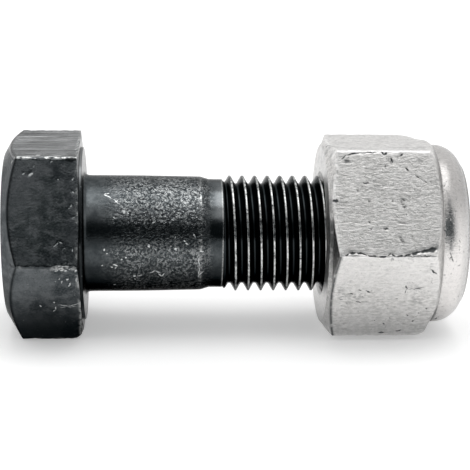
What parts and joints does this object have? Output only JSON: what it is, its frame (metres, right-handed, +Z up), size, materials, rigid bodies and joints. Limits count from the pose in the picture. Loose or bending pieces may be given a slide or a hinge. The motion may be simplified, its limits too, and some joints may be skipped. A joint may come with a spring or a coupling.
{
  "type": "hexagon bolt with lock nut",
  "caption": "Hexagon bolt with a plain shank, a short thread and a high lock nut that holds a nylon ring in its round collar; the nut runs along the thread as it turns.",
  "frame": {"origin": "on the bolt's axis, in the plane of the bearing face under the head", "axes": "+X along the bolt from the head to the nut, +Z up as it lies, +Y away from the side that the picture shows"},
  "size_m": [0.0534, 0.0254, 0.0226],
  "materials": {
    "bolt_steel": "dark blackened steel, satin, rubbed bright along its edges",
    "nut_steel": "light zinc plating, finely brushed, satin",
    "nylon": "natural nylon, smooth, matt"
  },
  "bodies": {
    "bolt": {"bolt": "bolt_steel"},
    "insert": {"nylon_insert": "nylon"},
    "nut": {"lock_nut": "nut_steel"}
  },
  "joints": [
    {"name": "nut_travel", "type": "slide", "parent": "bolt", "child": "insert", "axis": [1, 0, 0], "range_m": [-0.01051, 0.01276]},
    {"name": "nut_turn", "type": "hinge", "parent": "insert", "child": "nut", "pos_m": [0.03, 0, 0], "axis": [1, 0, 0], "range_deg": [-2520, 3060]}
  ],
  "couplings": [
    {"joint": "nut_travel", "follows": "nut_turn", "m_per_rad": 0.00023873}
  ]
}
